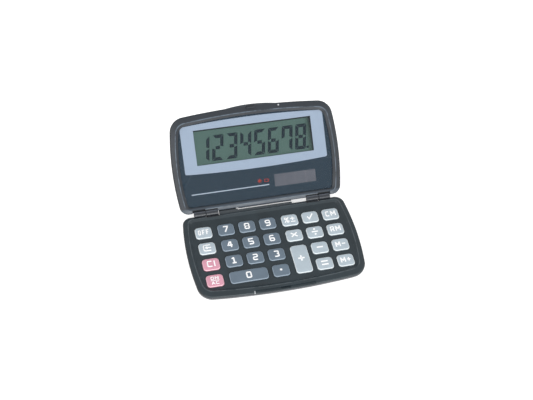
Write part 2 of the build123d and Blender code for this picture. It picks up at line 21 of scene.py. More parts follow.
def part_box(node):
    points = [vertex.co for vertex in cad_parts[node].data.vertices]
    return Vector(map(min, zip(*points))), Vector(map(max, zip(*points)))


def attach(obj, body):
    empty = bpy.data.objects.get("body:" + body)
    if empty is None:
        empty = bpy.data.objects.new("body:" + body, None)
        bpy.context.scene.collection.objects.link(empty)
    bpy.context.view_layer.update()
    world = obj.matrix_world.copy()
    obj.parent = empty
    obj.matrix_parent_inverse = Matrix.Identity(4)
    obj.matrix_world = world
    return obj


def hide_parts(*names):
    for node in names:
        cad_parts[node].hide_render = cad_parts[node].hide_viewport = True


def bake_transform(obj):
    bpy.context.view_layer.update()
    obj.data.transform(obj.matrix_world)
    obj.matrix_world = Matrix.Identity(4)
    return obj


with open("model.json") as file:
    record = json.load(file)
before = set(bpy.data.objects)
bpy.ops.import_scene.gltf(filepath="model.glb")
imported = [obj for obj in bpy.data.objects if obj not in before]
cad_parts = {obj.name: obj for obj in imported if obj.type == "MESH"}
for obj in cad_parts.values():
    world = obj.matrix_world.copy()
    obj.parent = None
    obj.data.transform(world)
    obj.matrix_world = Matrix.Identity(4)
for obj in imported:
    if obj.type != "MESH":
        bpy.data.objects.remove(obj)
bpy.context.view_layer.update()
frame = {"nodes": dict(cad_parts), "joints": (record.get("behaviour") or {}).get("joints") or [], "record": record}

MM = 0.001

# %% [markdown]
# ## Two halves, one way of measuring
#
# Each half of the case is easiest to describe lying flat: x along the hinge, s the distance from
# the hinge line and n the height over the rim. The base really lies like that. The lid leans
# back, so what is drawn flat is turned about the hinge line afterwards. The hinge line and the
# angle at which the lid rests are read from the model's own hinge, so nothing is measured twice.

# %% The hinge line and the two half planes
HINGE = next(joint for joint in frame["joints"] if joint["name"] == "lid_hinge")
HINGE_LINE = Vector(HINGE["pos_m"])
LEAN = math.radians(180 - HINGE["range_deg"][1])
ON_BASE = Matrix.Translation(HINGE_LINE)
ON_LID = ON_BASE @ Matrix.Rotation(LEAN, 4, "X")


def flat_points(node, half):
    """The corners of a CAD node's mesh, measured in a half's own flat plane."""
    back = half.inverted()
    return [back @ vertex.co for vertex in frame["nodes"][node].data.vertices]


def top_level(node, half):
    """The highest level of a CAD node over its half's rim plane."""
    return max(point.z for point in flat_points(node, half))


print(f"the lid leans back {math.degrees(LEAN):.0f} degrees from the table")

# %% [markdown]
# ## Camera
#
# The calculator is looked down on from in front, a little from its left. A long lens keeps the
# far and the near edge almost parallel. A camera looks along its own -Z, so its three axes are
# given as directions in the room, and the matrix is made of them.

# %% Camera
CAMERA_PLACE = Vector((-121.07, -348.395, 518.16)) * MM
TO_THE_RIGHT = Vector((0.97148, -0.22794, 0.06536)).normalized()
LOOKING = Vector((0.19098, 0.58876, -0.78542)).normalized()
LENS_LENGTH = 70.79  # for a sensor 36 wide
SENSOR_WIDTH = 36

bpy.ops.object.camera_add(location=CAMERA_PLACE)
camera = bpy.context.object
upward = TO_THE_RIGHT.cross(LOOKING).normalized()
axes = Matrix((TO_THE_RIGHT, upward, -LOOKING)).transposed()
camera.rotation_euler = axes.to_euler()
camera.data.lens = LENS_LENGTH
camera.data.sensor_width = SENSOR_WIDTH
camera.data.clip_start = 0.01
bpy.context.scene.camera = camera
print(f"the camera stands {CAMERA_PLACE.length:.2f} m from the calculator")

# %% [markdown]
# ## Table and light
#
# A small product like this is lit in a tent of white cloth: light comes from all round, so the
# rounded edges of dark plastic show as soft bright lines and shadows stay faint. A pale world
# does the work of the tent. Five square lamps give the light a direction: a low one in front for
# the face of the leaning lid and the strip next to the hinge, one on each side of it for the
# slopes of the rims, and one far out on each side for the walls and the edges of the keys.

# %% Table and tent
TABLE_SIZE = 6
TENT_LIGHT = 0.68

bpy.ops.mesh.primitive_plane_add(size=TABLE_SIZE, location=(0, 0, -0.05 * MM))
table = bpy.context.object
table.name = "table_top"

scene = bpy.context.scene
scene.view_settings.view_transform = "Standard"
scene.world = bpy.data.worlds.new("light_tent")
scene.world.use_nodes = True
tent = scene.world.node_tree.nodes["Background"]
tent.inputs["Color"].default_value = (1.0, 1.0, 1.0, 1)
tent.inputs["Strength"].default_value = TENT_LIGHT
print("a table top and a white tent")


# %% Lamps
def lamp(name, place, size, watts):
    """A square soft lamp that points at the calculator."""
    bpy.ops.object.light_add(type="AREA", location=place)
    light = bpy.context.object
    light.name = name
    light.data.size = size
    light.data.energy = watts
    light.rotation_euler = (-Vector(place)).to_track_quat("-Z", "Y").to_euler()


lamp("left_softbox", (-1.1, 0.1, 0.9), 0.9, 3)
lamp("front_left_softbox", (-0.8, -1.0, 1.1), 0.6, 7)
lamp("front_right_softbox", (0.9, -1.1, 1.0), 0.6, 2)
lamp("right_softbox", (1.2, -0.1, 0.7), 0.8, 2.5)
lamp("low_front_softbox", (0.1, -1.5, 0.35), 0.6, 13)
print("five soft lamps")

# %% [markdown]
# ## Writing a finish
#
# A finish in Blender is a net of nodes. Drawn by hand it soon looks like knitting, so two small
# classes let it be written as sums. A Wire is the output of a node, and adding or multiplying
# Wires adds the Math nodes. A Finish is one material around one Principled shader: its `add`
# makes any node, and `set` puts a plain value or a Wire on one of the shader's sockets.

# %% Wires
class Wire:
    """The output of a node. Python's operators on it add Math nodes."""

    def __init__(self, finish, socket):
        self.finish = finish
        self.socket = socket

    def maths(self, operation, *values):
        return self.finish.add("Math", {"operation": operation}, dict(enumerate(values)))

    def __add__(self, other):
        return self.maths("ADD", self, other)

    def __mul__(self, other):
        return self.maths("MULTIPLY", self, other)

    def __sub__(self, other):
        return self.maths("SUBTRACT", self, other)

    def __rsub__(self, other):
        return self.maths("SUBTRACT", other, self)

    def __truediv__(self, other):
        return self.maths("DIVIDE", self, other)

    __radd__ = __add__
    __rmul__ = __mul__

    def size(self):
        return self.maths("ABSOLUTE", self)

    def larger(self, other):
        return self.maths("MAXIMUM", self, other)

    def part(self):
        """What is left of a number once its whole part is taken away."""
        return self.maths("FRACT", self)

    def step(self, low, high):
        """0 below low, 1 above high, and smooth between them."""
        return self.finish.add(
            "MapRange",
            {"interpolation_type": "SMOOTHSTEP"},
            {0: self, 1: low, 2: high, 3: 0.0, 4: 1.0},
        )


print("wires can be added, multiplied and stepped")


# %% Finishes
class Finish:
    """One material around a Principled shader."""

    def __init__(self, name, **sockets):
        self.material = bpy.data.materials.new(name)
        self.material.use_nodes = True
        self.tree = self.material.node_tree
        self.shader = self.tree.nodes["Principled BSDF"]
        self.set(**sockets)

    def feed(self, socket, value):
        if isinstance(value, Wire):
            self.tree.links.new(value.socket, socket)
        elif hasattr(value, "__len__") and socket.type == "RGBA":
            socket.default_value = (*value, 1)[:4]
        else:
            socket.default_value = value

    def add(self, kind, settings, sockets, out=0):
        """A node of a kind: its settings first, then the values or Wires of its sockets."""
        node = self.tree.nodes.new("ShaderNode" + kind)
        for name, value in settings.items():
            setattr(node, name, value)
        for place, value in sockets.items():
            self.feed(node.inputs[place], value)
        return Wire(self, node.outputs[out])

    def set(self, **sockets):
        """Puts values or Wires on the shader's sockets: Base_Color stands for Base Color."""
        for name, value in sockets.items():
            self.feed(self.shader.inputs[name.replace("_", " ")], value)
        return self

    def place(self, half=None):
        """Object coordinates, or those of a half's flat plane."""
        at = self.add("TexCoord", {}, {}, out="Object")
        if half is None:
            return at
        turn = half.to_euler()
        sockets = {0: at, 1: half.translation, 2: (turn.x, turn.y, turn.z)}
        return self.add("Mapping", {"vector_type": "TEXTURE"}, sockets)

    def axes(self, half=None):
        """The three numbers of a place, as Wires."""
        split = self.add("SeparateXYZ", {}, {0: self.place(half)})
        return [Wire(self, socket) for socket in split.socket.node.outputs]

    def facing(self, axis):
        """How far a face looks along one of the object's axes, from -1 to 1."""
        normal = self.add("TexCoord", {}, {}, out="Normal")
        return self.add("SeparateXYZ", {}, {0: normal}, out=axis)

    def noise(self, size, detail=2.0, roughness=0.5, half=None, stretch=None):
        """Cloudy noise from 0 to 1 whose patches are about this size, in metres."""
        at = self.place(half)
        if stretch:
            at = self.add("VectorMath", {"operation": "MULTIPLY"}, {0: at, 1: stretch})
        sockets = {"Vector": at, "Scale": 1 / size, "Detail": detail, "Roughness": roughness}
        return self.add("TexNoise", {}, sockets)

    def mix(self, mask, first, second):
        """One colour where the mask is 0 and another where it is 1."""
        return self.add("Mix", {"data_type": "RGBA"}, {0: mask, 6: first, 7: second}, out=2)

    def tint(self, mask, colour):
        """Another colour where the mask is 1, over the colour that the finish has so far."""
        so_far = Wire(self, self.shader.inputs["Base Color"].links[0].from_socket)
        return self.set(Base_Color=self.mix(mask, so_far, colour))

    def relief(self, height, depth):
        """A bump of this depth, in metres, on the shader's normal."""
        return self.set(Normal=self.add("Bump", {}, {"Height": height, "Distance": depth}))


print("a finish takes sums of wires")


# %% Colours
def shade(red, green, blue):
    """A screen colour, 0 to 255, as the linear numbers that a shader takes."""

    def linear(value):
        value /= 255
        return value / 12.92 if value <= 0.04045 else ((value + 0.055) / 1.055) ** 2.4

    return tuple(linear(value) for value in (red, green, blue))


def scaled(colour, factor):
    """The same colour, lighter or darker."""
    return tuple(min(1.0, value * factor) for value in colour)


print("middle grey is", [round(value, 3) for value in shade(128, 128, 128)])

# %% [markdown]
# ## Table top
#
# A sheet of white acrylic that is lit from below, as on a product photographer's table. Its own
# glow fills the shadows under the case, so it shows white through the gap at the hinge too. Even
# such a sheet isn't quite one colour, so it gets a very faint cloudiness.

# %% Table finish
GLOW = 0.58
CLOUD = 200 * MM

acrylic = Finish("lit_acrylic", Roughness=0.9, Emission_Color=(1, 1, 1), Emission_Strength=GLOW)
acrylic.set(Base_Color=acrylic.mix(acrylic.noise(CLOUD), (0.84, 0.84, 0.84), (0.86, 0.86, 0.86)))
table.data.materials.append(acrylic.material)
print("the table top glows at", GLOW)

# %% [markdown]
# ## Moulded plastic
#
# The case, the plates and the keys are injection moulded. The steel mould is etched, so the
# surface has a very fine even grain, and where hands rub it, it turns smoother and a little
# lighter. Both are noise: one fine noise for the grain as a bump, one broad noise for the
# rubbed patches, in colour and in roughness together. A little dust lies in the grain.

# %% Moulded plastic
GRAIN = 0.22 * MM
GRAIN_DEPTH = 0.004 * MM
DUST = (0.5, 0.5, 0.5)


def moulded(name, colour, roughness, patch=9 * MM, uneven=0.12, rub=0.09):
    """Injection-moulded plastic: etched grain, rubbed patches and dust in the grain."""
    finish = Finish(name, Specular_IOR_Level=0.5)
    patches = finish.noise(patch, 4.0, 0.6).step(0.3, 0.7)
    grain = finish.noise(GRAIN)
    dust = finish.noise(0.7 * MM, 3.0, 0.7).step(0.66, 0.8)
    body = finish.mix(patches, scaled(colour, 1 - uneven), scaled(colour, 1 + uneven))
    finish.set(
        Base_Color=finish.mix(dust * 0.04, body, DUST),
        Roughness=roughness + 0.1 * grain - rub * patches,
    )
    return finish.relief(grain, GRAIN_DEPTH)


finishes = {
    "chip_cover": moulded("chip_cover", (0.012, 0.012, 0.013), 0.4, 1.2 * MM),
    "dome_rubber": moulded("dome_rubber", (0.42, 0.43, 0.42), 0.75, 6 * MM, 0.08, 0.0),
}
print("grain", GRAIN / MM, "mm across")

# %% [markdown]
# ## Edges of plates and keys
#
# Edges catch the light, and here that light is painted. On a plate a painted highlight lies on
# the crest of the rim: it is found by its height over the rim plane, and a noise breaks it up. The
# outer round of the rim looks away from the light and gets painted shade, a deeper tone. On a
# key, which lies flat, an edge is where the face no longer looks straight up: a painted highlight
# makes it paler there, and painted shade makes it darker again at its foot, where its walls stand
# in the opening. Which way a face looks is its normal, in the object's own axes.

# %% Plastic of the plates and of the keys
SATIN = 0.42
HALF_WIDTH = 50 * MM
# colour of the painted shade at the foot of a key's walls
PAINTED_FOOT_SHADE = shade(60, 66, 72)


def rim_plastic(name, colour, highlight_colour, half, amount):
    """Plate plastic: a painted highlight on the crest of its rim, painted shade on its outer round."""
    finish = moulded(name, colour, SATIN)
    x, _, height = finish.axes(half)
    # painted shade: the outer round of the rim is tinted darker
    painted_outer_shade = (finish.facing("X") * x / HALF_WIDTH).step(0.25, 0.7)
    # painted highlight: the crest of the rim is tinted lighter
    painted_crest_highlight = height.step(-0.05 * MM, -0.01 * MM) * (1 - height.step(0.03 * MM, 0.1 * MM))
    finish.tint(painted_crest_highlight * finish.noise(6 * MM, 4.0, 0.7).step(0.3, 0.6) * amount, highlight_colour)
    return finish.tint(painted_outer_shade * 0.8, scaled(colour, 0.2))


# edge is the colour of the painted highlight on the key's rounded edges
def key_plastic(name, colour, edge):
    """Key plastic: a painted highlight where its edges round over, painted shade at the foot of its walls."""
    finish = moulded(name, colour, SATIN, 5 * MM, 0.05)
    upward = finish.facing("Z")
    # painted highlight: paler where the edges round over
    painted_edge_highlight = (1 - upward.step(0.75, 0.985)) * upward.step(0.3, 0.65)
    finish.tint(painted_edge_highlight * 0.85, edge)
    # painted shade: darker at the foot of the walls
    return finish.tint((1 - upward.step(0.1, 0.5)) * 0.45, PAINTED_FOOT_SHADE)


# the third colour of each key is the colour of its painted edge highlight
finishes["key_grey"] = key_plastic("key_grey", shade(174, 187, 196), shade(238, 244, 245))
finishes["key_slate"] = key_plastic("key_slate", shade(100, 115, 129), shade(152, 168, 182))
finishes["key_pink"] = key_plastic("key_pink", shade(211, 151, 169), shade(248, 205, 215))
print("grey, slate and pink keys")

# %% [markdown]
# ## Case, keyboard plate and display bezel
#
# The three large mouldings are nearly black, each with its own blue or green cast. Light is
# painted on them: a painted highlight on the tops of the hinge knuckles, painted light on the
# strips next to the hinge, and one small painted glint on each free edge. Each of these is a
# mask made from a place on the half it belongs to, and each mask tints the colour that is already there.

# %% Case, keyboard plate and display bezel
# places of two small painted glints, one on the plate's front edge and one on the bezel's
PLATE_GLINT = (-18.7 * MM, -61.4 * MM)
BEZEL_GLINT = (17.6 * MM, 60.4 * MM)


def spot(across, along, wide, long):
    """1 within a small rectangle round the place where both numbers are 0."""
    return 1 - (across.size() / wide).larger(along.size() / long).step(0.7, 1.3)


case = moulded("case_plastic", shade(46, 50, 56), 0.34, uneven=0.07)
_, y, height = case.axes(ON_BASE)
# painted highlight along the tops of the hinge knuckles
painted_knuckle_highlight = (1 - (y - 0.6 * MM).size().step(0.3 * MM, 0.8 * MM)) * height.step(0.8 * MM, 1.3 * MM)
case.tint(painted_knuckle_highlight * 0.7, shade(112, 118, 128))

# its second colour is the colour of the painted highlight on the crest of the rim
plate = rim_plastic("plate_plastic", shade(37, 48, 54), shade(120, 128, 134), ON_BASE, 0.3)
x, y, _ = plate.axes(ON_BASE)
# painted light: the strip of the plate next to the hinge is tinted lighter
plate.tint(y.step(-2.4 * MM, -1.4 * MM) * 0.5, shade(92, 96, 100))
# a painted glint at the left end of the thumb notch
painted_glint = spot(x - PLATE_GLINT[0], y - PLATE_GLINT[1], 0.3 * MM, 1.0 * MM)
plate.tint(painted_glint, shade(160, 164, 168))

# its second colour is the colour of the painted highlight on the crest of the rim
bezel = rim_plastic("bezel_plastic", shade(34, 40, 47), shade(104, 118, 132), ON_LID, 0.6)
x, y, _ = bezel.axes(ON_LID)
# painted light: the strip of the bezel next to the hinge is tinted lighter
bezel.tint((1 - y.step(3.4 * MM, 4.4 * MM)) * 0.28, shade(104, 118, 132))
# a painted glint on the bezel's front edge
painted_glint = spot(x - BEZEL_GLINT[0], y - BEZEL_GLINT[1], 0.4 * MM, 0.4 * MM)
bezel.tint(painted_glint, shade(190, 192, 196))

finishes |= {"case_plastic": case, "plate_plastic": plate, "bezel_plastic": bezel}
print(len(finishes), "moulded finishes")

# %% [markdown]
# ## Window
#
# The window is a flat sheet of clear acrylic. What shows of it is only its gloss, so it lets
# light straight through and reflects more the flatter one looks along it. The slant of the look,
# raised to the fifth power, gives that share, between a transparent and a glossy shader. A
# Fresnel node wouldn't do: it would turn light back inside the sheet, where nothing bends it.

# %% Clear acrylic
def clear_acrylic():
    """Clear sheet: transparent, with a gloss that has very fine rubbing marks."""
    finish = Finish("window_clear", Base_Color=(0.02, 0.025, 0.03), Specular_IOR_Level=0.6)
    marks = finish.noise(0.4 * MM, 3.0, 0.7, ON_LID, (1.0, 0.12, 1.0))
    finish.set(Roughness=0.06 + 0.12 * marks.step(0.5, 0.8))
    slant = finish.add("LayerWeight", {}, {"Blend": 0.5}, out="Facing")
    gloss = 0.04 + 0.9 * slant.maths("POWER", slant, 5.0)
    through = finish.add("BsdfTransparent", {}, {})
    both = finish.add("MixShader", {}, {0: gloss + 0.01 * marks, 1: through})
    output = finish.tree.nodes["Material Output"]
    finish.tree.links.new(finish.shader.outputs[0], both.socket.node.inputs[2])
    finish.tree.links.new(both.socket, output.inputs[0])
    return finish


finishes["window_clear"] = clear_acrylic()
print("a clear window")

# %% [markdown]
# ## Inks
#
# All printing on this object is screen printing: ink pressed through a fine cloth. It dries
# nearly flat, with faint clouds where more of it went through and pinholes where threads cross.
# One function makes every ink, from the dark ground of the window to the white of the legends.

# %% Inks
def printed(name, colour, uneven=0.06):
    """Screen-printed ink: nearly flat, with faint clouds and pinholes."""
    finish = Finish(name, Roughness=0.55, Specular_IOR_Level=0.3)
    clouds = finish.noise(4 * MM, 3.0)
    threads = finish.noise(0.15 * MM, 1.0)
    body = finish.mix(clouds, scaled(colour, 1 - uneven), scaled(colour, 1 + uneven))
    finish.set(Base_Color=finish.mix(threads.step(0.62, 0.8) * 0.15, body, scaled(colour, 0.8)))
    return finish.relief(threads, 0.001 * MM)


finishes["window_ink"] = printed("window_ink", shade(30, 49, 63))
surround_ink = printed("surround_ink", shade(151, 167, 187), 0.03)
rule_ink = printed("rule_ink", shade(170, 184, 200))
red_ink = printed("red_ink", shade(166, 54, 42))
legend_ink = printed("legend_ink", (0.93, 0.94, 0.95), 0.02)
segment_ink = printed("segment_dark", shade(14, 32, 42), 0.04)
print("six inks")

# %% [markdown]
# ## Display film and solar cell
#
# A grey-green polarising film carries the display's colour. It is a little darker towards its
# right end and along the top, where the edge of the printing shades it, so the first thing to
# know is where the printing has its opening. The solar cell behind its own opening is a strip
# of glass with four dark cells side by side, parted by thin pale lines.

# %% The display's opening in the printing
sight = [
    point
    for point in flat_points("window_print", ON_LID)
    if abs(point.x) < 40 * MM and 25 * MM < point.y < 53 * MM
]
SIGHT_X = max(point.x for point in sight)
SIGHT_NEAR = min(point.y for point in sight)
SIGHT_FAR = max(point.y for point in sight)
print(f"display opening {2 * SIGHT_X / MM:.1f} x {(SIGHT_FAR - SIGHT_NEAR) / MM:.1f} mm")


# %% Display film and solar cell
SOLAR_CELLS = 4


def display_film():
    """Polarising film: grey green, shaded along the top and towards the right end."""
    finish = Finish("polariser_film", Roughness=0.35, Specular_IOR_Level=0.35)
    x, s, _ = finish.axes(ON_LID)
    right = x.step(SIGHT_X - 4.2 * MM, SIGHT_X - 1.6 * MM) * 0.6
    edge = (x + 0.04 * (s - SIGHT_NEAR)).step(SIGHT_X - 1.4 * MM, SIGHT_X + 0.2 * MM)
    top = s.step(SIGHT_FAR - 1.1 * MM, SIGHT_FAR - 0.6 * MM)
    clouds = finish.noise(12 * MM, 2.0)
    body = finish.mix(clouds, shade(68, 93, 88), shade(74, 100, 94))
    shaded = finish.mix(right, body, shade(34, 50, 46))
    return finish.set(Base_Color=finish.mix(edge.larger(top * 0.9), shaded, shade(16, 26, 30)))


def solar_glass():
    """Brown cells under glass, parted by thin pale lines."""
    finish = Finish("solar_glass", Roughness=0.25, Coat_Weight=0.4)
    across = [point.x for point in flat_points("solar_cell", ON_LID)]
    low, high = min(across), max(across)
    x = finish.axes(ON_LID)[0]
    along = (x - low) / (high - low) * SOLAR_CELLS
    line = (along.part() - 0.5).size().step(0.485, 0.495)
    clouds = finish.noise(2.5 * MM, 4.0)
    cells = finish.mix(clouds, shade(76, 80, 90), shade(92, 96, 106))
    return finish.set(Base_Color=finish.mix(line * 0.5, cells, shade(140, 136, 140)))


finishes["polariser_film"] = display_film()
finishes["solar_glass"] = solar_glass()
print("display film and", SOLAR_CELLS, "solar cells")


# %% Glass and foils
def plain_glass(name, colour):
    """Dark display glass with a faint smear."""
    finish = Finish(name, Roughness=0.1)
    smear = finish.noise(3 * MM, 3.0)
    return finish.set(Base_Color=finish.mix(smear, colour, scaled(colour, 1.3)))


def foil(name, colour, roughness=0.35):
    """Thin brushed foil or film."""
    finish = Finish(name, Metallic=0.6)
    brush = finish.noise(0.3 * MM, 3.0, 0.6, None, (0.08, 1.0, 1.0))
    finish.set(Roughness=roughness + 0.2 * brush)
    return finish.set(Base_Color=finish.mix(brush, scaled(colour, 0.85), scaled(colour, 1.1)))


finishes["display_glass"] = plain_glass("display_glass", (0.03, 0.045, 0.04))
finishes["reflector_foil"] = foil("reflector_foil", (0.45, 0.5, 0.46))
finishes["connector_film"] = foil("connector_film", (0.25, 0.19, 0.08))
finishes["cable_film"] = foil("cable_film", (0.02, 0.019, 0.018), 0.45)
print("films and glass")

# %% [markdown]
# ## Metal, board and foam
#
# What is left is seen only through the hinge gap, from below or when the case is taken apart:
# the screws and hinge pins, the cell and its contacts, the circuit boards and the foam strips.
# They still get the marks of how they are made: rolled lines, etched tracks, open pores.

# %% Metal, board and foam
def steel(name, colour, roughness=0.3):
    """Rolled or turned metal with fine lines and a few dull spots."""
    finish = Finish(name, Metallic=1.0)
    lines = finish.noise(0.12 * MM, 3.0, 0.6, None, (0.1, 1.0, 1.0))
    spots = finish.noise(1.4 * MM, 3.0).step(0.55, 0.75)
    finish.set(Roughness=roughness + 0.15 * lines + 0.15 * spots)
    finish.set(Base_Color=finish.mix(spots, colour, scaled(colour, 0.7)))
    return finish.relief(lines, 0.002 * MM)


def etched_board(name):
    """Green lacquered board: copper tracks show through the lacquer as paler lines."""
    finish = Finish(name, Roughness=0.35)
    x, y, _ = finish.axes()
    tracks = ((x / (2.2 * MM)).part() - 0.5).size().step(0.3, 0.36)
    across = ((y / (3.1 * MM)).part() - 0.5).size().step(0.34, 0.4)
    lines = tracks.larger(across)
    finish.set(Base_Color=finish.mix(lines, (0.02, 0.11, 0.04), (0.06, 0.24, 0.09)))
    return finish.relief(lines, 0.02 * MM)


def foam(name):
    """Black closed-cell foam with open pores on its cut faces."""
    finish = Finish(name, Roughness=0.95)
    pores = finish.add("TexVoronoi", {}, {"Vector": finish.place(), "Scale": 1 / (0.3 * MM)})
    finish.set(Base_Color=finish.mix(pores, (0.008, 0.008, 0.008), (0.05, 0.05, 0.05)))
    return finish.relief(pores, 0.05 * MM)


finishes["screw_steel"] = steel("screw_steel", (0.12, 0.12, 0.13), 0.35)
finishes["pin_steel"] = steel("pin_steel", (0.5, 0.5, 0.52))
finishes["cell_steel"] = steel("cell_steel", (0.6, 0.6, 0.6))
finishes["contact_nickel"] = steel("contact_nickel", (0.62, 0.6, 0.54))
finishes["circuit_board"] = etched_board("circuit_board")
finishes["cushion_foam"] = foam("cushion_foam")
print(len(finishes), "finishes for the solid parts")

# %% [markdown]
# ## Dressing the CAD parts
#
# The model's record says which finish each part takes. Each part has one material slot, and
# the finish of that name goes into it. The mesh itself stays as it is.

# %% Give every CAD part its finish
for entry in frame["record"]["subparts"]:
    part = frame["nodes"][entry["node"]]
    part.data.materials.clear()
    part.data.materials.append(finishes[entry["material_slot"]].material)

# %% [markdown]
# ## Tools for small pieces
#
# The operators work on whatever is selected, so each step starts by choosing one object alone.
# A small piece is drawn lying flat, then put on its half by the half's matrix, which is applied
# so that the place ends up in the mesh. Where a piece has to be a CAD part's exact double, it
# starts as a copy of it.

# %% Choosing and editing
def choose(*objects):
    """Selects only these objects; the first is the active one."""
    bpy.ops.object.select_all(action="DESELECT")
    for item in objects:
        item.select_set(True)
    bpy.context.view_layer.objects.active = objects[0]
    return objects[0]


@contextmanager
def editing(item):
    """Edit mode on one object, with nothing selected at first."""
    choose(item)
    bpy.ops.object.mode_set(mode="EDIT")
    bpy.ops.mesh.select_all(action="DESELECT")
    yield item
    bpy.ops.object.mode_set(mode="OBJECT")


def select_where(item, kind, test):
    """In edit mode, selects the vertices, edges or faces whose middle passes a test."""
    mesh = bmesh.from_edit_mesh(item.data)
    for element in getattr(mesh, kind):
        if kind == "verts":
            middle = element.co
        else:
            middle = sum((v.co for v in element.verts), Vector()) / len(element.verts)
        element.select_set(test(middle))
    mesh.select_flush_mode()
    bmesh.update_edit_mesh(item.data)


print("objects can be chosen and edited")


# %% Modifiers, finishing and copying
def apply_modifier(item, kind, **settings):
    """Adds a modifier with these settings and applies it."""
    choose(item)
    bpy.ops.object.modifier_add(type=kind)
    modifier = item.modifiers[-1]
    for name, value in settings.items():
        setattr(modifier, name, value)
    bpy.ops.object.modifier_apply(modifier=modifier.name)


def settle(item, name, finish, half=None, body=None):
    """Names a finished piece, puts it on its half, dresses it and hangs it on its body."""
    choose(item)
    if half is not None:
        item.matrix_world = half @ item.matrix_world
    bpy.ops.object.transform_apply(location=True, rotation=True, scale=True)
    item.name = item.data.name = name
    item.data.materials.clear()
    item.data.materials.append(finish.material)
    if body:
        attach(item, body)
    return item


def copy_of(node):
    """A copy of a CAD node with its own mesh, free to be shaped, its loose triangles merged."""
    item = frame["nodes"][node].copy()
    item.data = item.data.copy()
    bpy.context.collection.objects.link(item)
    for key in [name for name in item.keys() if name.startswith("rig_")]:
        del item[key]
    item.parent = None
    with editing(item):
        bpy.ops.mesh.select_all(action="SELECT")
        bpy.ops.mesh.remove_doubles(threshold=0.001 * MM)
    return item


print("helpers are ready")

# %% [markdown]
# ## Key legends
#
# The legends are printed on the crowned tops of the keys in white, in a plain square lettering.
# A font would bring thin and thick lines that no key printer uses, so each sign is drawn with
# strokes of one width, as with a pen. A sign lies on a grid 4 wide and 6 tall, and its strokes
# are lists of points on that grid, so 26 is the point at x = 2, y = 6.

# %% The strokes of each sign
# Strokes are parted by commas. A stroke is a smooth line near its points. One that starts with @
# is a closed loop, and one that starts with ! runs straight from point to point. A single point
# is a dot.
SIGNS = {
    "0": "@20 40 43 46 26 06 03 00", "1": "!05 26 20,!00 40",
    "2": "06 26 46 43 23 03 00 20 40", "3": "06 26 46 43 23,23 43 40 20 00",
    "4": "!30 36,!26 02 42", "5": "!46 06 03,03 23 43 40 20 00",
    "6": "46 26 06 03 00 20 40 43 23 03", "7": "!06 46 10",
    "8": "@26 46 43 23 03 06,@23 43 40 20 00 03", "9": "00 20 40 43 46 26 06 03 23 43",
    "O": "@20 40 43 46 26 06 03 00", "F": "!00 06 46,!03 33", "C": "46 26 06 03 00 20 40",
    "M": "!00 06 22 46 40", "R": "!00 06,06 26 46 43 23 03,!23 40", "I": "!20 26",
    "N": "!00 06 40 46", "A": "!00 26 40,!12 32", "%": "@04 24 26 06,@20 40 42 22,!00 46",
    "±": "!04 44,!22 26,!00 40", "+": "!03 43,!21 25", "−": "!03 43", "×": "!01 45,!05 41",
    "÷": "!03 43,26,20", "=": "!02 42,!04 44", "√": "!03 10 46",
    "↶": "46 26 06 03 00 20 40,!13 43,!24 13 22",
}  # fmt: skip
WIDTHS = {"1": 0.75, "I": 0.25, "M": 1.25, "N": 1.1}  # against that of the others
print(len(SIGNS), "signs")

# %% [markdown]
# ## A pen for flat shapes
#
# A straight stroke is a row of flat bars, one from point to point, that run into each other a
# little. A smooth one is a curve turned into a flat ribbon: its extrusion gives the width, and a
# quarter turn of tilt lays it down. Bars keep their full width at a sharp corner, where a ribbon
# would pinch. The same bars and dots serve for the small signs and digits further on.

# %% Bars, dots and strokes
def bar(x, y, width, height, turn=0.0):
    """A flat printed bar."""
    bpy.ops.mesh.primitive_plane_add(size=1, location=(x, y, 0), rotation=(0, 0, turn))
    item = choose(bpy.context.object)
    item.scale = (width, height, 1)
    bpy.ops.object.transform_apply(location=True, rotation=True, scale=True)
    return item


def dot(x, y, radius, sides=16):
    """A flat printed disc."""
    place = (x, y, 0)
    bpy.ops.mesh.primitive_circle_add(
        radius=radius, vertices=sides, fill_type="NGON", location=place
    )
    item = choose(bpy.context.object)
    bpy.ops.object.transform_apply(location=True, rotation=True, scale=True)
    return item


def joined(*items):
    """Several flat pieces as one object."""
    choose(*items)
    if len(items) > 1:
        bpy.ops.object.join()
    return items[0]


def straight(points, width):
    """Flat bars from point to point, a little longer so that their ends overlap."""
    bars = []
    for (x0, y0), (x1, y1) in zip(points, points[1:]):
        length = math.hypot(x1 - x0, y1 - y0) + 0.6 * width
        turn = math.atan2(y1 - y0, x1 - x0)
        bars.append(bar((x0 + x1) / 2, (y0 + y1) / 2, length, width, turn))
    return joined(*bars)


def curved(points, width, closed):
    """A flat ribbon along a smooth line near the points."""
    line = bpy.data.curves.new("stroke", "CURVE")
    line.dimensions = "3D"
    line.extrude = width / 2
    line.resolution_u = 5
    run = line.splines.new("NURBS")
    run.points.add(len(points) - 1)
    for corner, (x, y) in zip(run.points, points):
        corner.co = (x, y, 0, 1)
        corner.tilt = math.pi / 2
    run.order_u = 3
    run.use_cyclic_u = closed
    run.use_endpoint_u = not closed
    item = bpy.data.objects.new("stroke", line)
    bpy.context.collection.objects.link(item)
    choose(item)
    bpy.ops.object.convert(target="MESH")
    item = bpy.context.object
    if item.data.polygons[0].normal.z < 0:
        item.data.flip_normals()
    return item


print("a pen for straight and smooth strokes")


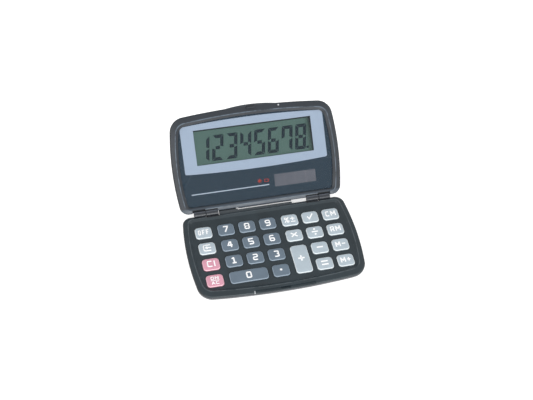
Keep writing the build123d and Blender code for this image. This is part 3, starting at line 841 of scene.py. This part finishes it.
# %% From strokes to lettering
def lettering(text, width, height, weight):
    """Flat lettering of a given size, centred on the origin."""
    shares = [WIDTHS.get(letter, 1.0) for letter in text]
    space = 0.9 * weight
    unit = (width - space * (len(text) - 1)) / sum(shares)
    left = -width / 2
    pieces = []
    for letter, share in zip(text, shares):
        across = share * unit
        for line in SIGNS[letter].split(","):
            points = [
                (
                    left + weight / 2 + int(place[0]) / 4 * max(0, across - weight),
                    (int(place[1]) / 6 - 0.5) * (height - weight),
                )
                for place in line.strip("@!").split()
            ]
            if len(points) == 1:
                pieces.append(dot(*points[0], 0.75 * weight))
            elif line[0] == "!":
                pieces.append(straight(points, weight))
            else:
                pieces.append(curved(points, weight, line[0] == "@"))
        left += across + space
    return joined(*pieces)


print("lettering of any size")

# %% [markdown]
# ## Ink on the keys
#
# The crown of a key isn't flat, and a large flat face can't follow it. So the lettering is cut
# along a square grid by bisection, pulled straight down onto the key by a Shrinkwrap modifier
# and given the thickness of the ink by a Solidify modifier. It rides on its key, so it goes down
# when the key is pressed. A legend sits a little above the middle of its key.

# %% Ink on a key
INK = 0.03 * MM
CELL = 0.6 * MM
ABOVE_MIDDLE = 0.25 * MM


def cut_into_cells(item, cell):
    """Cuts a flat mesh along a square grid, so that it can follow a curved surface."""
    with editing(item):
        corners = [vertex.co.copy() for vertex in bmesh.from_edit_mesh(item.data).verts]
        for axis, normal in enumerate([(1, 0, 0), (0, 1, 0)]):
            low, high = (end(corner[axis] for corner in corners) for end in (min, max))
            for n in range(1, int((high - low) / cell) + 1):
                place = Vector(normal) * (low + n * cell)
                bpy.ops.mesh.select_all(action="SELECT")
                bpy.ops.mesh.bisect(plane_co=place, plane_no=normal)


def print_on_key(item, key, shift=ABOVE_MIDDLE):
    """Lays flat lettering on the crown of a key as a film of ink that moves with it."""
    low, high = (Vector(corner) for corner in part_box(key))
    middle = (low + high) / 2
    item.data.transform(Matrix.Translation((middle.x, middle.y + shift, high.z + MM)))
    cut_into_cells(item, CELL)
    apply_modifier(
        item,
        "SHRINKWRAP",
        target=frame["nodes"][key],
        wrap_method="PROJECT",
        use_project_z=True,
        use_negative_direction=True,
        use_positive_direction=False,
        offset=INK / 2,
    )
    apply_modifier(item, "SOLIDIFY", thickness=INK, offset=1.0)
    return settle(item, key.replace("key_", "legend_"), legend_ink, None, key)


print("ink", INK / MM, "mm thick")

# %% The legends
# Each key's sign, with its width, height and stroke in mm.
LEGENDS = {
    "key_off": ("OFF", 6.7, 3.7, 0.68), "key_percent": ("%±", 6.8, 4.1, 0.68),
    "key_root": ("√", 4.2, 4.4, 0.85), "key_memory_clear": ("CM", 6.5, 3.9, 0.75),
    "key_backspace": ("↶", 5.0, 4.8, 0.7), "key_multiply": ("×", 4.2, 4.7, 0.88),
    "key_divide": ("÷", 4.3, 4.6, 0.9), "key_memory_recall": ("RM", 6.5, 3.9, 0.75),
    "key_clear_entry": ("CI", 5.0, 4.4, 0.75), "key_plus": ("+", 4.4, 6.0, 1.0),
    "key_minus": ("−", 4.3, 3.8, 1.0), "key_memory_minus": ("M−", 6.4, 3.8, 0.78),
    "key_equals": ("=", 4.5, 7.8, 1.0), "key_memory_plus": ("M+", 6.4, 3.8, 0.78),
}  # fmt: skip
LEGENDS |= {f"key_{digit}": (digit, 3.4, 4.6, 0.86) for digit in "023456789"}
LEGENDS["key_1"] = ("1", 2.8, 4.6, 0.88)
for key, (text, *sizes) in LEGENDS.items():
    print_on_key(lettering(text, *[size * MM for size in sizes]), key)
print("legends on", len(LEGENDS), "keys")

# %% The point, and the key with two words
WORD = (4.8 * MM, 2.2 * MM, 0.5 * MM)  # width, height and stroke
WORD_SHIFT = Vector((0, 1.65 * MM, 0))
POINT_RADIUS = 0.75 * MM

print_on_key(dot(0, 0, POINT_RADIUS), "key_point")
over, under = lettering("ON", *WORD), lettering("AC", *WORD)
over.data.transform(Matrix.Translation(WORD_SHIFT))
under.data.transform(Matrix.Translation(-WORD_SHIFT))
between = bar(0, 0, 5.2 * MM, 0.42 * MM)
print_on_key(joined(over, under, between), "key_on", 0)
print("all keys are printed")

# %% [markdown]
# ## Printing behind the window
#
# The printer lays the pale printing first, then the dark ground over all the rest, both on the
# back of the window. Where the pale ink lies, the ground is a film further back. The ground is
# a copy of the solid print whose front face is moved back by that film. It is shaded flat,
# since it is flat, and smoothed corners would show as wedges of shadow.

# %% The dark ground, set back a hair so that the pale printing lies before it
PRINT_SET_BACK = 0.03 * MM
PRINT_FRONT = top_level("window_print", ON_LID)
PALE_INK = 0.6 * PRINT_SET_BACK
PALE_LEVEL = Vector((0, 0, PRINT_FRONT - PRINT_SET_BACK / 2))

ground = copy_of("window_print")
with editing(ground):
    to_flat = ON_LID.inverted()
    select_where(ground, "verts", lambda p: (to_flat @ p).z > PRINT_FRONT - PRINT_SET_BACK)
    back = ON_LID.to_3x3() @ Vector((0, 0, -PRINT_SET_BACK))
    bpy.ops.transform.translate(value=back)
bpy.ops.object.shade_flat()
settle(ground, "window_ground", finishes["window_ink"], None, "lid")
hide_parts("window_print")
depth = PRINT_SET_BACK - PRINT_FRONT
print(f"the ground lies {depth / MM:.2f} mm below the rim plane")

# %% [markdown]
# ## Surround of the display
#
# The pale blue-grey surround has long sides that bow gently outwards. It starts as a grid, one
# row deep and many columns wide, whose upper and lower edges are moved along a parabola. A
# vertex bevel rounds its four corners, and a Boolean cuts the display's opening out of it with a
# box of the opening's size.

# %% The pale surround of the display
SURROUND_HALF = 45.0 * MM
SURROUND_NEAR = 24.8 * MM
SURROUND_FAR = 53.9 * MM
BOW_FAR = 1.8 * MM
BOW_NEAR = 1.3 * MM
SURROUND_CORNER = 1.1 * MM

bpy.ops.object.select_all(action="DESELECT")
bpy.ops.mesh.primitive_grid_add(x_subdivisions=48, y_subdivisions=1, size=1)
surround = choose(bpy.context.object)
middle = (SURROUND_FAR + SURROUND_NEAR) / 2
surround.scale = (2 * SURROUND_HALF, SURROUND_FAR - SURROUND_NEAR, 1)
surround.location = (0, middle, 0)
bpy.ops.object.transform_apply(location=True, rotation=True, scale=True)
for vertex in surround.data.vertices:
    bow = 1 - (vertex.co.x / SURROUND_HALF) ** 2
    vertex.co.y += bow * (BOW_FAR if vertex.co.y > middle else -BOW_NEAR)
with editing(surround):
    select_where(surround, "verts", lambda p: abs(p.x) > SURROUND_HALF - 0.1 * MM)
    bpy.ops.mesh.bevel(offset=SURROUND_CORNER, segments=6, affect="VERTICES")
apply_modifier(surround, "SOLIDIFY", thickness=PALE_INK, offset=0)

bpy.ops.mesh.primitive_cube_add(size=1)
opening = choose(bpy.context.object)
opening.scale = (2 * SIGHT_X, SIGHT_FAR - SIGHT_NEAR, MM)
opening.location = (0, (SIGHT_FAR + SIGHT_NEAR) / 2, 0)
bpy.ops.object.transform_apply(location=True, rotation=True, scale=True)
apply_modifier(surround, "BOOLEAN", object=opening, operation="DIFFERENCE", solver="EXACT")
bpy.data.objects.remove(opening)
surround.data.transform(Matrix.Translation(PALE_LEVEL))
settle(surround, "display_surround", surround_ink, ON_LID, "lid")
print(f"surround {2 * SURROUND_HALF / MM:.0f} mm wide, {len(surround.data.polygons)} faces")

# %% [markdown]
# ## Rule and small signs
#
# Below the display a thin pale rule runs to two small red signs that tell what powers the
# calculator: a sun, which is a dot with eight short rays, and a battery, an outlined box with a
# knob at its right end. All are flat bars and dots, printed in the same film as the surround.

# %% The thin rule
RULE_LEFT, RULE_RIGHT = -42.7 * MM, 6.1 * MM
RULE_LEVEL, RULE_WIDTH = 12.2 * MM, 0.58 * MM


def print_on_window(item, name, finish):
    """Lays a flat shape on the back of the window."""
    apply_modifier(item, "SOLIDIFY", thickness=PALE_INK, offset=0)
    item.data.transform(Matrix.Translation(PALE_LEVEL))
    return settle(item, name, finish, ON_LID, "lid")


rule = bar((RULE_LEFT + RULE_RIGHT) / 2, RULE_LEVEL, RULE_RIGHT - RULE_LEFT, RULE_WIDTH)
print_on_window(rule, "window_rule", rule_ink)
print(f"a rule {(RULE_RIGHT - RULE_LEFT) / MM:.1f} mm long")

# %% The two red signs
SIGN_LINE = 0.28 * MM
SUN_X, SUN_Y, SUN_RADIUS = 0.3 * MM, 15.2 * MM, 0.75 * MM
RAYS, RAY_REACH, RAY_LENGTH = 8, 1.15 * MM, 0.6 * MM
BATTERY_X, BATTERY_Y = 4.6 * MM, 15.0 * MM
BATTERY_WIDE, BATTERY_TALL = 2.3 * MM, 1.6 * MM

sun = [dot(SUN_X, SUN_Y, SUN_RADIUS, 20)]
for n in range(RAYS):
    angle = n * math.tau / RAYS
    x, y = SUN_X + RAY_REACH * math.cos(angle), SUN_Y + RAY_REACH * math.sin(angle)
    sun.append(bar(x, y, RAY_LENGTH, SIGN_LINE, angle))
print_on_window(joined(*sun), "solar_mark", red_ink)

battery = []
for side in (1, -1):
    battery.append(bar(BATTERY_X, BATTERY_Y + side * BATTERY_TALL / 2, BATTERY_WIDE, SIGN_LINE))
for side in (1, -1):
    battery.append(bar(BATTERY_X + side * BATTERY_WIDE / 2, BATTERY_Y, SIGN_LINE, BATTERY_TALL))
battery.append(bar(BATTERY_X + BATTERY_WIDE / 2 + 0.3 * MM, BATTERY_Y, 0.35 * MM, 0.7 * MM))
print_on_window(joined(*battery), "battery_mark", red_ink)
print("printing behind the window is done")

# %% [markdown]
# ## Digits of the display
#
# A liquid-crystal digit is seven bars with a hair's breadth between them. The outer six are
# mitred: a plane's outer edge is drawn out to the digit's corners. The middle one is pointed:
# its end edges are extruded and merged to a point. A digit joins the bars that it needs, and
# leans over by moving each point sideways with its height, which is a shear. Round the digit,
# the bars are named a to f clockwise from the top, and the middle one is g.

# %% Sizes of a digit
SEGMENTS = {
    "1": "bc", "2": "abged", "3": "abgcd", "4": "fgbc",
    "5": "afgcd", "6": "afgedc", "7": "fabc", "8": "abcdefg",
}  # fmt: skip
DIGIT_WIDE = 4.95 * MM  # between the middles of the upright bars
DIGIT_TALL = 13.6 * MM  # between the middles of the top and bottom bars
BAR_WIDE = 2.05 * MM
BAR_GAP = 0.08 * MM
CORNER_REACH = 1.8  # of a bar's outer edge at a corner of the digit, in half widths of the bar
MIDDLE_REACH = 0.9  # the same where it meets the next bar half way up
SLANT = math.tan(math.radians(7.5))
FIRST_DIGIT = -32.5 * MM
DIGIT_PITCH = 8.76 * MM
DIGIT_FOOT = 32.25 * MM
FILM_FRONT = top_level("lcd_polariser", ON_LID)
print(f"digits {(DIGIT_TALL + BAR_WIDE) / MM:.1f} mm tall")


# %% One bar, and how a mark is laid on the film
def display_bar(name, x, y, length, turn):
    """One bar of a digit, mitred on its outer side, or pointed if it is the middle one."""
    item = bar(0, 0, length - BAR_WIDE - BAR_GAP, BAR_WIDE)
    half = BAR_WIDE / 2
    for side in (1, -1):
        with editing(item):
            if name == "g":
                select_where(item, "edges", lambda p: side * p.x > half and abs(p.y) < half / 2)
                bpy.ops.mesh.extrude_region_move(
                    TRANSFORM_OT_translate={"value": (side * half, 0, 0)}
                )
                bpy.ops.mesh.merge(type="CENTER")
            else:
                corner = name in "ad" or side == (1 if name in "cf" else -1)
                reach = (CORNER_REACH if corner else MIDDLE_REACH) * half
                select_where(item, "verts", lambda p: side * p.x > 0 and p.y > 0)
                bpy.ops.transform.translate(value=(side * reach, 0, 0))
    turned = Matrix.Rotation(math.radians(turn), 4, "Z")
    item.data.transform(Matrix.Translation((x, y, 0)) @ turned)
    return item


def display_mark(item, name, x):
    """Leans a mark over, lays it on the display film and dresses it."""
    lean = Matrix.Identity(4)
    lean[0][1] = SLANT
    item.data.transform(Matrix.Translation((x, DIGIT_FOOT, FILM_FRONT)) @ lean)
    apply_modifier(item, "SOLIDIFY", thickness=0.02 * MM, offset=1.0)
    return settle(item, name, segment_ink, ON_LID, "lid")


print("a bar is", BAR_WIDE / MM, "mm wide")


# %% Eight digits and the point
def display_digit(figure, n):
    """One digit from its bars, leaning over to the right."""
    wide, tall = DIGIT_WIDE / 2, DIGIT_TALL / 2
    places = {
        "a": (0, 2 * tall, 2 * wide, 0), "g": (0, tall, 2 * wide, 0), "d": (0, 0, 2 * wide, 180),
        "b": (wide, 1.5 * tall, tall, -90), "c": (wide, tall / 2, tall, -90),
        "f": (-wide, 1.5 * tall, tall, 90), "e": (-wide, tall / 2, tall, 90),
    }  # fmt: skip
    item = joined(*[display_bar(name, *places[name]) for name in SEGMENTS[figure]])
    return display_mark(item, f"display_digit_{figure}", FIRST_DIGIT + n * DIGIT_PITCH)


for n, figure in enumerate("12345678"):
    display_digit(figure, n)
point = bar(0, -0.15 * MM, 1.5 * MM, 1.4 * MM)
display_mark(point, "display_point", FIRST_DIGIT + 7 * DIGIT_PITCH + 4.6 * MM)
print("the display reads 12345678.")

# %% [markdown]
# ## The cable through the hinge
#
# A flat cable joins the boards of the two halves. It is the one part that bends as the lid
# turns. The CAD model's stiff strip is replaced by a copy of the solid, cut across into many short
# lengths by a row of bisections, so it keeps its exact place.

# %% Hinge cable
CUTS = 14  # on either side of the hinge line
CUT_PITCH = 0.4 * MM

cable = copy_of("hinge_cable")
with editing(cable):
    for n in range(-CUTS, CUTS + 1):
        bpy.ops.mesh.select_all(action="SELECT")
        cut = HINGE_LINE + Vector((0, n * CUT_PITCH, 0))
        bpy.ops.mesh.bisect(plane_co=cut, plane_no=(0, 1, 0))
settle(cable, "flat_cable", finishes["cable_film"])
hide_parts("hinge_cable")
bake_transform(cable)
print("cable has", len(cable.data.polygons), "faces")

# %% [markdown]
# ## Seals and cradles at the hinge
#
# Two thin strips, one on each half, keep dust out of the slit where the cable passes. Under each
# of the lid's knuckles the base has a thin cradle, a trough bent round the knuckle, so that one
# doesn't look through the case to the table. All four keep one section along their length, so
# each is a section drawn across the hinge, extruded along it, with its edges broken by a bevel.

# %% A section along the hinge
def along_hinge(name, section, left, right, half, body):
    """Extrudes a closed section across the hinge, given as points in mm, along the hinge."""
    corners = [(left * MM, y * MM, z * MM) for y, z in section]
    shape = bpy.data.meshes.new(name)
    shape.from_pydata(corners, [], [tuple(range(len(corners)))])
    item = bpy.data.objects.new(name, shape)
    bpy.context.collection.objects.link(item)
    with editing(item):
        bpy.ops.mesh.select_all(action="SELECT")
        length = (right - left) * MM
        bpy.ops.mesh.extrude_region_move(TRANSFORM_OT_translate={"value": (length, 0, 0)})
        bpy.ops.mesh.select_all(action="SELECT")
        bpy.ops.mesh.normals_make_consistent(inside=False)
    apply_modifier(item, "BEVEL", width=0.05 * MM, segments=2)
    return settle(item, name, finishes["case_plastic"], half, body)


print("sections can be drawn across the hinge")

# %% Seal strips
STRIP_LEFT, STRIP_RIGHT = -15.2, 18.5

lid_strip = [(0.9, -0.85), (0.22, -0.85), (0.22, -1.1), (0.9, -1.1)]
along_hinge("seal_strip_lid", lid_strip, STRIP_LEFT, STRIP_RIGHT, ON_LID, "lid")
base_strip = [(0.2, -0.8), (0.5, -0.8), (0.5, -1.05), (0.2, -1.05)]
along_hinge("seal_strip_base", base_strip, STRIP_LEFT, STRIP_RIGHT, ON_BASE, "base")
print("strips", STRIP_RIGHT - STRIP_LEFT, "mm long")

# %% Knuckle cradles
CRADLE_NEAR, CRADLE_FAR = 27.6, 35.6  # its ends, out from the middle
INSIDE, OUTSIDE = 2.15, 2.55  # radii of the trough
LIP_TOP, LIP_UNDER, LIP_EDGE, LIP_ROOT = -0.5, -0.9, -3.25, -2.1

angles = [math.radians(angle) for angle in range(20, 101, 8)]
trough = [(LIP_EDGE, LIP_TOP), (LIP_ROOT, LIP_TOP)]
trough += [(-INSIDE * math.cos(angle), -INSIDE * math.sin(angle)) for angle in angles]
trough += [(-OUTSIDE * math.cos(angle), -OUTSIDE * math.sin(angle)) for angle in angles[::-1]]
trough.append((LIP_EDGE, LIP_UNDER))
along_hinge("knuckle_cradle_left", trough, -CRADLE_FAR, -CRADLE_NEAR, ON_BASE, "base")
along_hinge("knuckle_cradle_right", trough, CRADLE_NEAR, CRADLE_FAR, ON_BASE, "base")
print("two cradles", round(CRADLE_FAR - CRADLE_NEAR, 1), "mm long")
